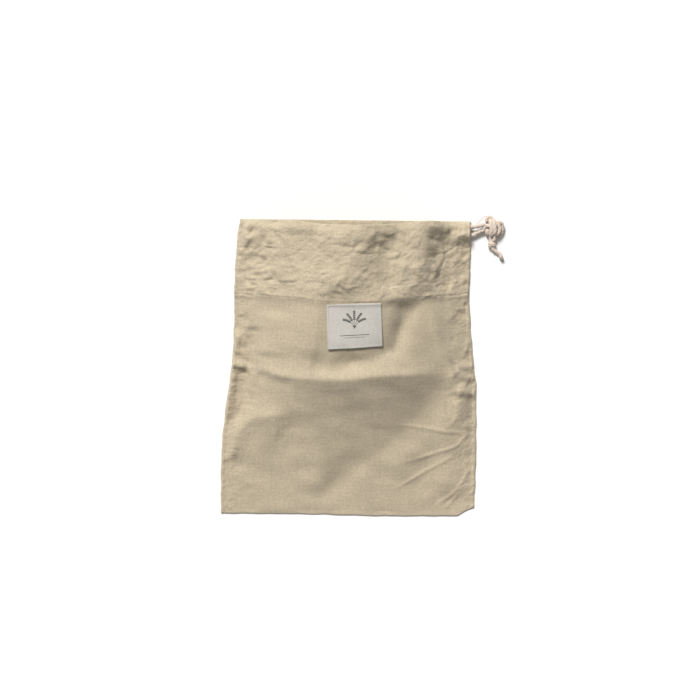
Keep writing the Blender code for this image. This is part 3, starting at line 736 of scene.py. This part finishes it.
def cloth_place(x, y):
    """u and down of the places over (x, y)."""
    u, down = np.full(x.shape, 0.5), np.full(x.shape, 0.5 * LENGTH)
    for _ in range(16):
        v = share_up(u, down)
        here_x, here_y = plan(u, v, FRONT_MOUTH)
        u = u + (x - here_x) / width_at(v)
        down = down - (y - here_y)
    return u, down


def label_points(outer, across, along):
    """The label's middle surface and normals, over the front cloth. across and along start at its middle."""
    share = 0.5 - along / LABEL_HEIGHT
    raised = along + LABEL_SKEW * share * (0.5 + across / LABEL_WIDTH)
    x = LABEL_X + across * math.cos(LABEL_TURN) - raised * math.sin(LABEL_TURN)
    y = LABEL_Y + across * math.sin(LABEL_TURN) + raised * math.cos(LABEL_TURN)
    points, normals = outer.at(*cloth_place(x, y))
    normals = unit(normals + LABEL_LEVEL * UP)
    ripple = LABEL_RIPPLE * np.sin(across / LABEL_RIPPLE_LENGTH + 1.0) * share ** 3
    lift = LABEL_LIFT + LABEL_PROUD * share ** 3 + ripple
    return points + normals * lift[..., None], normals


def make_label(outer, material):
    columns, rows = round(LABEL_WIDTH / LABEL_STEP) + 1, round(LABEL_HEIGHT / LABEL_STEP) + 1
    across, along = np.meshgrid(np.linspace(-0.5, 0.5, columns) * LABEL_WIDTH,
                                np.linspace(-0.5, 0.5, rows) * LABEL_HEIGHT)
    bowed = along + LABEL_BOW * np.cos(across / LABEL_WIDTH * math.pi) * (along / LABEL_HEIGHT)
    points, normals = label_points(outer, across, bowed)
    from_edge = np.minimum(LABEL_WIDTH / 2 - np.abs(across), LABEL_HEIGHT / 2 - np.abs(along))
    turned = LABEL_EDGE_RISE * ease((LABEL_EDGE + LABEL_EDGE_SOFT - from_edge) / LABEL_EDGE_SOFT)
    points = points + normals * turned[..., None]
    uv = np.stack([across + LABEL_WIDTH, along + LABEL_HEIGHT], -1)
    return thick_grid("label_piece", points, uv, LABEL_THICK, material)


def print_shapes():
    """The label's plain motif, in its own plane: a fan of five ears of wheat, tied, over two rules.
    Each shape is a strip: rows of a left and a right point."""
    shapes = []
    foot = np.array((0.0, -6.5))
    for lean, tall in ((-0.85, 19.0), (-0.43, 22.0), (0.0, 23.5), (0.43, 22.0), (0.85, 19.0)):
        def place(share):
            leaning = math.sin(lean * (0.3 + 0.7 * share)), math.cos(lean * share)
            return foot + tall * share * np.array(leaning)
        shapes.append(strip([place(share) for share in np.linspace(0, 0.97, 16)], STALK))
        for share in (0.50, 0.60, 0.70, 0.80, 0.90):
            ahead = unit(place(share + 0.05) - place(share))
            for side in (-1, 1):
                across = np.array((ahead[1], -ahead[0])) * side
                start = place(share) + across * 0.25
                shapes.append(grain(start, start + 2.5 * unit(ahead + 0.55 * across)))
        shapes.append(grain(place(0.94), place(1.06)))
    shapes.append(strip([foot + (x, 3.4 - 0.03 * x * x) for x in np.linspace(-2.4, 2.4, 7)], TIE_BAND))
    for half, y, thick in ((19.0, -14.6, 0.42), (13.0, -17.6, 0.24)):
        shapes.append(strip([np.array((x, y)) for x in np.linspace(-half, half, 40)], thick))
    return shapes


def strip(line, half_width):
    """A strip around a line. Its half width is one number, or one for each point."""
    line = np.array(line)
    ahead = unit(np.gradient(line, axis=0))
    side = np.stack([-ahead[:, 1], ahead[:, 0]], -1) * np.broadcast_to(half_width, len(line))[:, None]
    return np.stack([line + side, line - side], 1)


def grain(start, end):
    """One grain of wheat: a pointed oval."""
    shares = np.linspace(0, 1, 7)
    half_width = [0.06 + 0.62 * math.sin(math.pi * share ** 0.85) ** 0.8 for share in shares]
    return strip([start + (end - start) * share for share in shares], half_width)


def make_print(outer, material):
    vertices, faces = [], []
    for shape in print_shapes():
        points, normals = label_points(outer, shape[..., 0], shape[..., 1] + PRINT_RAISED)
        rows, first = len(shape), len(vertices)
        for lift in (LABEL_THICK / 2 + 0.07, LABEL_THICK / 2 - 0.05):
            vertices += list((points + normals * lift).reshape(-1, 3))
        low = 2 * rows
        for a in range(first, first + 2 * rows - 2, 2):
            faces += [(a, a + 1, a + 3, a + 2)[::-1], (a + low, a + low + 1, a + low + 3, a + low + 2),
                      (a, a + 2, a + 2 + low, a + low)[::-1], (a + 1, a + 3, a + 3 + low, a + 1 + low)]
        last = first + 2 * rows - 2
        faces += [(first, first + 1, first + 1 + low, first + low)[::-1],
                  (last, last + 1, last + 1 + low, last + low)]
    return new_object("label_print", vertices, faces, material, smooth=False)


def label_lines(outer):
    """Stitches along the label's top and sides; its lower edge is free."""
    x, y = LABEL_WIDTH / 2 - LABEL_STITCH_INSET, LABEL_HEIGHT / 2 - LABEL_STITCH_INSET
    share = np.linspace(0, 1, 60)
    lines = []
    for start, end in (((-x, y), (x, y)), ((-x, y), (-x, -y)), ((x, y), (x, -y))):
        across, along = (low + (high - low) * share for low, high in zip(start, end))
        points, normals = label_points(outer, across, along)
        lines.append((points + normals * (LABEL_THICK / 2 + 0.1), normals))
    return lines


# ---------------------------------------------------------------- cords and knots

def channel_point(u, front):
    """The middle of the cord in one of the two channels, at the shares u of the width."""
    if front:
        down = run_place(u, FRONT_RUN)
        step = 1e-3
        sides = [front_shape(np.clip(u + shift, 0, 1), down) for shift in (-step, step)]
        lines = [front_shape(u, down + shift) for shift in (-1, 1)]
        normal = unit(np.cross(sides[1] - sides[0], lines[0] - lines[1]))
        lying, outward, room, back_room = channel_room(u, down, normal)
        inward = (LAYER + room) / 2 - room * swell_share(lying)
        return front_shape(u, down) - outward * inward + UP * back_room
    down = run_place(u, BACK_RUN)
    return back_shape(u, down) + UP * CORD_SEAT


def drawstring_route():
    """From the knot through the front channel, round beside the left seam, and back behind."""
    width = width_at(1.0)
    count = round((width - TURN_INSET - CORD_SIDE_SKIP) / RUN_COLUMN)
    shares = np.append(np.linspace(TURN_INSET, width - CORD_SIDE_SKIP, count + 1) / width, 1.0)[::-1]
    front, back = channel_point(shares, True), channel_point(shares[::-1], False)
    start, end = front[-1], back[0]
    middle, radius = (start + end) / 2, (start[1] - end[1]) / 2
    turn = []
    for step in range(1, TURN_STEPS):
        angle = math.pi * step / TURN_STEPS
        share = math.sin(angle / 2)
        turn.append(np.array((middle[0] - radius * math.sin(angle), middle[1] + radius * math.cos(angle),
                              start[2] + (end[2] - start[2]) * share)))
    return np.array([*FRONT_STRAND[::-1], *front, *turn, *back, *BACK_STRAND])


def tube(route, diameter, pitch, sides=18, step=0.9, strands=3, taper=(0.75, 0.75)):
    """A twisted cord: three strands that wind round each other. Returns vertices, faces, uv."""
    line = even_points(route, step)
    tangents = unit(np.gradient(line, axis=0))
    side = unit(np.cross(tangents[0], UP if abs(tangents[0][2]) < 0.9 else np.array((1.0, 0, 0))))
    frames = []
    for tangent in tangents:
        side = unit(side - tangent * (side @ tangent))
        frames.append((side, np.cross(tangent, side)))
    angles = np.linspace(0, 2 * math.pi, sides + 1)[:-1]
    gone = lengths_along(line)
    left = gone[-1] - gone
    vertices, uv = [], []
    for point, (first, second), here, rest in zip(line, frames, gone, left):
        lobes = np.abs(np.cos(strands / 2 * (angles - 2 * math.pi * here / pitch)))
        end = min(1.0, taper[0] + (1 - taper[0]) * here / (ROUND_END * diameter),
                  taper[1] + (1 - taper[1]) * rest / (ROUND_END * diameter))
        radius = diameter / 2 * (STRAND_CORE + STRAND_LOBE * lobes ** STRAND_POWER) * end
        vertices.append(point + np.outer(np.cos(angles) * radius, first)
                        + np.outer(np.sin(angles) * radius, second))
        uv.append(np.stack([np.full(sides, here), angles * diameter / 2], -1))
    index = np.arange(len(line) * sides).reshape(len(line), sides)
    ahead = np.roll(index, -1, axis=1)
    faces = np.stack([index[:-1], ahead[:-1], ahead[1:], index[1:]], -1).reshape(-1, 4).tolist()
    vertices = np.concatenate(vertices)
    count = len(vertices)
    ends = np.stack([line[0] - tangents[0] * CORD_TIP * diameter,
                     line[-1] + tangents[-1] * CORD_TIP * diameter])
    for corner in range(sides):
        following = (corner + 1) % sides
        faces.append([count, following, corner])
        faces.append([count + 1, count - sides + corner, count - sides + following])
    uv = np.concatenate([*uv, [[0, 0], [gone[-1], 0]]])
    return np.concatenate([vertices, ends]), faces, uv


def joined(name, shapes, material):
    vertices, faces, uv = [], [], []
    start = 0
    for some_vertices, some_faces, some_uv in shapes:
        vertices.append(some_vertices)
        uv.append(some_uv)
        faces += [[corner + start for corner in face] for face in some_faces]
        start += len(some_vertices)
    return new_object(name, np.concatenate(vertices), faces, material, np.concatenate(uv))


def wraps(middle, reach, turns, advance, axis, start, tilt):
    """Turns of cord around an axis, whose first and last stretch dip into the knot."""
    places = []
    total = round(turns * WRAP_STEPS)
    for step in range(total + 1):
        share = step / total
        angle = start + 2 * math.pi * turns * share
        dip = WRAP_DIP + (1 - WRAP_DIP) * float(ease(min(share, 1 - share) * turns * WRAP_RISE))
        round_one, round_two = math.cos(angle) * reach[0] * dip, math.sin(angle) * reach[1] * dip
        shift = (share - 0.5) * advance + tilt * math.sin(angle)
        offset = (shift, round_one, round_two) if axis == "x" else (round_one, shift, round_two)
        places.append(tuple(m + o for m, o in zip(middle, offset)))
    return places


def make_cords(cotton, tip_cotton):
    drawstring_path = even_points(drawstring_route(), 2.0)
    drawstring = joined("drawstring_cord", [tube(drawstring_path, CORD, 19.0, step=1.2)], cotton)
    knot = joined("tie_knot_turns", [
        tube(wraps(KNOT_MIDDLE, (10.2, 4.4), 2.3, 10.0, "x", 2.2, 1.1), CORD, 16.0),
        tube(((190.6, 182.0, 8.8), (192.2, 175.6, 8.0), (191.8, 170.2, 6.6), (190.2, 165.4, 5.6)), 5.4, 15.0),
        tube(((192.6, 188.6, 9.6), (197.0, 186.2, 9.4), (198.4, 180.8, 8.6), (196.4, 175.4, 8.0),
              (192.6, 173.6, 7.6)), 5.2, 14.0),
        tube(((181.0, 190.0, 9.0), (181.6, 194.6, 9.4), (184.6, 197.2, 9.2), (188.2, 195.4, 9.0),
              (189.6, 190.6, 8.6)), 4.8, 13.0),
        tube(((180.5, 186.5, 8.4), (185.0, 184.5, 12.2), (190.4, 182.6, 12.0), (194.6, 187.0, 8.6)),
             5.2, 15.0),
    ], cotton)
    loose = joined("tie_loose_thread", [
        tube(((168.5, 188.2, 8.4), (171.6, 190.6, 8.8), (175.6, 194.4, 9.0), (179.4, 197.6, 9.2),
              (183.0, 198.4, 9.6)), 1.1, 4.0, sides=8, step=0.6)], cotton)

    end_route = ((187.4, 187.0, 9.0), (192.6, 189.6, 8.6)) + END
    end_path = even_points(end_route, 1.0)
    end = joined("tie_short_end", [tube(end_path, CORD, 16.0)], cotton)

    tail_route = ((187.2, 175.5, 6.6),) + TAIL + (STOPPER_MIDDLE,) + TIP
    tail_path = even_points(tail_route, 1.0)
    tail = joined("tie_long_end", [tube(tail_path, TAIL_CORD, 15.0, taper=(0.75, 0.85))], cotton)
    stopper = joined("stopper_knot_turns", [
        tube(wraps(STOPPER_MIDDLE, (3.3, 2.6), 1.9, 5.0, "y", 0.8, 0.7), 4.4, 12.0, sides=14),
        tube(((185.4, 163.6, 6.4), (188.2, 161.2, 8.4), (191.6, 158.4, 6.6)), 3.8, 12.0, sides=14),
    ], cotton)
    fray = joined("tie_fray", frayed_end(tail_path, TAIL_CORD), tip_cotton)

    for piece, nodes in ((drawstring, ("drawstring",)), (knot, ("tie_knot",)), (end, ("tie_end",)),
                         (tail, ("tie_tail", "tie_tip")), (stopper, ("stopper_knot",)), (fray, ()),
                         (loose, ())):
        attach(piece, "root")
        if nodes:
            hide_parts(*nodes)


def frayed_end(path, diameter):
    """The cord's last few millimetres: loose fibres that spread."""
    chance = np.random.default_rng(41)
    last, back = path[-1], path[-4]
    forward = unit(last - back)
    side = unit(np.cross(forward, UP))
    shapes = []
    for _ in range(FIBRES):
        angle, out = chance.uniform(0, 2 * math.pi), math.sqrt(chance.uniform(0.02, 1))
        ring = side * math.cos(angle) + np.cross(side, forward) * math.sin(angle)
        root = last - forward * 1.6 + ring * out * diameter * 0.40
        reach = chance.uniform(*FIBRE_REACH)
        spread = ring * out * chance.uniform(0.4, 1.3) + chance.normal(0, 0.25, 3)
        middle = root + forward * reach * 0.5 + spread * 0.3
        tip = root + forward * reach + spread
        for place in (root, middle, tip):
            place[2] = max(place[2], FIBRE_LOWEST)
        shapes.append(tube((root, middle, tip), FIBRE_THICK, 3.0, sides=5, step=0.9))
    return shapes


# ---------------------------------------------------------------- materials

class Nodes:
    """A material's node tree, with short ways to add nodes."""

    def __init__(self, name, colour, roughness, sheen=0.0, sheen_roughness=0.5):
        self.material = bpy.data.materials.new(name)
        self.material.use_nodes = True
        self.tree = self.material.node_tree
        self.shader = self.tree.nodes["Principled BSDF"]
        for place, value in (("Base Color", (*colour, 1)), ("Roughness", roughness),
                             ("Specular IOR Level", 0.2), ("Sheen Weight", sheen),
                             ("Sheen Roughness", sheen_roughness)):
            self.shader.inputs[place].default_value = value

    def add(self, kind, inputs=(), **settings):
        node = self.tree.nodes.new(kind)
        for key, value in settings.items():
            setattr(node, key, value)
        for place, value in inputs:
            if isinstance(value, bpy.types.NodeSocket):
                self.tree.links.new(value, node.inputs[place])
            else:
                node.inputs[place].default_value = value
        return node

    def math(self, operation, one, two=0.0):
        return self.add("ShaderNodeMath", ((0, one), (1, two)), operation=operation).outputs[0]

    def total(self, *values):
        """The sum of two or more values."""
        result = values[0]
        for value in values[1:]:
            result = self.math("ADD", result, value)
        return result

    def coordinates(self, scale_x, scale_y):
        """The cloth's own coordinates, in repeats of the given lengths in millimetres."""
        if not hasattr(self, "uv"):
            self.uv = self.add("ShaderNodeUVMap", uv_map="cloth").outputs[0]
        scale = (1 / (scale_x * MM), 1 / (scale_y * MM), 1)
        return self.add("ShaderNodeMapping", (("Vector", self.uv), ("Scale", scale))).outputs[0]

    def noise(self, scale_x, scale_y, detail=2.0):
        vector = self.coordinates(scale_x, scale_y)
        return self.add("ShaderNodeTexNoise", (("Vector", vector), ("Scale", 1.0), ("Detail", detail),
                                               ("Roughness", 0.55))).outputs[0]

    def spread(self, value, low, high, to_low, to_high):
        return self.add("ShaderNodeMapRange", ((0, value), (1, low), (2, high), (3, to_low),
                                               (4, to_high))).outputs[0]

    def vary(self, noise, low, high):
        """A noise, spread over a range by the values that it nearly always has."""
        return self.spread(noise, 0.3, 0.7, low, high)

    def tinted(self, colour, value):
        """A colour made lighter or darker by a value around 1."""
        grey = self.add("ShaderNodeCombineColor", ((0, value), (1, value), (2, value))).outputs[0]
        return self.add("ShaderNodeMix", ((0, 1.0), (6, colour), (7, grey)), data_type="RGBA",
                        blend_type="MULTIPLY").outputs[2]

    def bump(self, height, distance):
        bump = self.add("ShaderNodeBump", (("Height", height), ("Distance", distance * MM),
                                           ("Strength", 1.0)))
        self.tree.links.new(bump.outputs[0], self.shader.inputs["Normal"])


def woven(name, colour, thread, slub, bump_distance, fleck, crinkle=0.0):
    """Plain-woven cloth: threads that pass over and under each other, uneven in thickness and colour. The
    bag's linen is crinkled too, most on the hem and beside the seams, and its hem band is painted lighter as
    painted light."""
    made = Nodes(name, colour, 0.92, 0.12, 0.6)
    place = made.coordinates(thread, thread)
    wander = made.add("ShaderNodeTexNoise", (("Vector", made.coordinates(9, 9)), ("Scale", 1.0),
                                             ("Detail", 1.0))).outputs["Color"]
    drift = made.add("ShaderNodeVectorMath", ((0, wander), (1, (0.5, 0.5, 0.5))),
                     operation="SUBTRACT").outputs[0]
    drift = made.add("ShaderNodeVectorMath", ((0, drift), ("Scale", 1.6)), operation="SCALE").outputs[0]
    place = made.add("ShaderNodeVectorMath", ((0, place), (1, drift)), operation="ADD").outputs[0]
    parts = made.add("ShaderNodeSeparateXYZ", ((0, place),)).outputs
    warp, weft = (made.math("ABSOLUTE", made.math("SINE", made.math("MULTIPLY", part, math.pi)))
                  for part in (parts[0], parts[1]))
    squares = made.add("ShaderNodeTexChecker", (("Vector", place), ("Scale", 1.0), (1, (1, 1, 1, 1)),
                                                (2, (0, 0, 0, 1)))).outputs["Fac"]
    threads = made.add("ShaderNodeMix", ((0, squares), (2, warp), (3, weft)), data_type="FLOAT").outputs[0]
    warp_slub = made.noise(thread * 1.7, thread * 55)
    weft_slub = made.noise(thread * 60, thread * 1.7)
    streaks = made.math("ADD", warp_slub, weft_slub)
    mottle = made.noise(26, 26, 4.0)
    patches = made.noise(90, 120, 2.0)
    grain = made.noise(3.4, 2.8, 3.0)
    shade = made.total(made.spread(streaks, 0.75, 1.25, -slub, slub), made.vary(mottle, -0.045, 0.045),
                       made.vary(patches, -0.025, 0.025), made.vary(grain, -1.9 * slub, 1.9 * slub),
                       made.spread(threads, 0.0, 1.0, 0.89, 1.05))
    if crinkle:
        across, along = made.add("ShaderNodeSeparateXYZ", ((0, made.uv),)).outputs[:2]
        in_band = made.spread(along, (LENGTH - HEM - 1) * MM, (LENGTH - HEM + 3) * MM, 0.0, 1.0)
        # Painted light: the hem band's colour is made lighter here.
        shade = made.math("ADD", shade, made.math("MULTIPLY", in_band, HEM_BAND_PAINTED_LIGHT))
    tone = made.tinted((*colour, 1), shade)
    if fleck:
        flecks = made.noise(thread * 2.0, thread * 14, 1.0)
        specks = made.spread(flecks, 0.70, 0.76, 0.0, 0.55)
        tone = made.add("ShaderNodeMix", ((0, specks), (6, tone), (7, (*fleck, 1))),
                        data_type="RGBA").outputs[2]
    made.tree.links.new(tone, made.shader.inputs["Base Color"])
    height = made.math("ADD", threads, made.math("MULTIPLY", streaks, 1.1))
    if crinkle:
        in_left = made.spread(across, 14 * MM, 40 * MM, 0.75, 0.0)
        in_right = made.spread(across, (FLAT_WIDTH - 40) * MM, (FLAT_WIDTH - 14) * MM, 0.0, 0.75)
        share = made.math("ADD", made.math("MAXIMUM", in_band, made.math("MAXIMUM", in_left, in_right)), 0.18)
        large = made.math("MULTIPLY", made.noise(12, 9, 2.0), 1.8)
        small = made.math("ADD", made.noise(5.5, 4.2, 3.0), large)
        height = made.math("ADD", height, made.math("MULTIPLY", made.math("MULTIPLY", small, share), crinkle))
    made.bump(height, bump_distance)
    return made.material


def twisted(name, colour):
    """Soft cotton cord: fine fibres that follow the twist."""
    made = Nodes(name, colour, 0.9, 0.2)
    fibres = made.noise(2.2, 0.35, 3.0)
    blotches = made.noise(7, 5, 2.0)
    shade = made.total(made.vary(fibres, 0.86, 1.10), made.vary(blotches, -0.06, 0.06))
    made.tree.links.new(made.tinted((*colour, 1), shade), made.shader.inputs["Base Color"])
    made.bump(fibres, 0.18)
    return made.material


def plain(name, colour, roughness, grain):
    """A small plain thing: thread, print or fibre, with a fine unevenness."""
    made = Nodes(name, colour, roughness)
    place = made.add("ShaderNodeTexCoord").outputs["Object"]
    noise = made.add("ShaderNodeTexNoise", (("Vector", place), ("Scale", 1 / (grain * MM)),
                                            ("Detail", 2.0))).outputs[0]
    made.tree.links.new(made.tinted((*colour, 1), made.vary(noise, 0.85, 1.12)),
                        made.shader.inputs["Base Color"])
    made.bump(noise, 0.05)
    return made.material


# ---------------------------------------------------------------- camera, floor and light

def make_camera():
    data = bpy.data.cameras.new("camera")
    data.lens, data.sensor_width = LENS, SENSOR
    data.clip_start, data.clip_end = 0.05, 20
    camera = bpy.data.objects.new("camera", data)
    camera.location = (IMAGE_MIDDLE[0] * MM, IMAGE_MIDDLE[1] * MM, CAMERA_HEIGHT * MM)
    bpy.context.scene.collection.objects.link(camera)
    bpy.context.scene.camera = camera


def make_floor():
    corners = [(x * FLOOR_REACH, y * FLOOR_REACH, 0) for x, y in ((-1, -1), (1, -1), (1, 1), (-1, 1))]
    made = Nodes("white_floor", FLOOR, 0.95)
    floor = new_object("floor", corners, [(0, 1, 2, 3)], made.material, smooth=False)


def make_lights():
    key = bpy.data.lights.new("key", "SUN")
    key.energy, key.angle, key.color = SUN_POWER, SUN_SIZE, SUN_COLOUR
    item = bpy.data.objects.new("key", key)
    item.rotation_euler = SUN_TURN
    bpy.context.scene.collection.objects.link(item)
    world = bpy.data.worlds.new("studio")
    world.use_nodes = True
    background = world.node_tree.nodes["Background"]
    background.inputs["Color"].default_value = (*ROOM_COLOUR, 1)
    background.inputs["Strength"].default_value = ROOM_POWER
    bpy.context.scene.world = world
    bpy.context.scene.view_settings.view_transform = "Standard"


# ---------------------------------------------------------------- the whole

def main():
    make_camera()
    linen = woven("natural_linen", LINEN, 0.78, 0.055, 0.10, (0.30, 0.235, 0.155), 9.0)
    label_cotton = woven("woven_label", LABEL_COTTON, 0.42, 0.03, 0.04, None)
    thread = plain("sewing_thread", THREAD, 0.8, 0.6)
    ink = plain("dark_print", PRINT, 0.7, 0.8)
    cotton = twisted("twisted_cotton", CORD_COTTON)
    tip_cotton = twisted("worn_cotton", TIP_COTTON)

    make_cords(cotton, tip_cotton)

    front, front_outer, front_hem = make_front(linen)
    back, back_hem = make_back(linen)
    label = make_label(front_outer, label_cotton)
    motif = make_print(front_outer, ink)
    front_stitches = stitches("front_stitches", [stitch_line(front_outer, row, 1) for row in STITCH_LINES]
                              + [stitch_line(front_hem, row, -1) for row in STITCH_LINES], thread)
    back_stitches = stitches("back_stitches", [stitch_line(back_hem, row, 1) for row in STITCH_LINES], thread)
    label_stitches = stitches("label_stitches", label_lines(front_outer), thread)

    for piece, slot in ((front, "linen"), (back, "linen"), (label, "label_cotton"), (motif, "label_cotton"),
                        (front_stitches, "linen"), (back_stitches, "linen"),
                        (label_stitches, "label_cotton")):
        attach(piece, "root")
    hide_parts("front_panel")
    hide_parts("back_panel")
    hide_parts("label")

    make_floor()
    make_lights()


main()
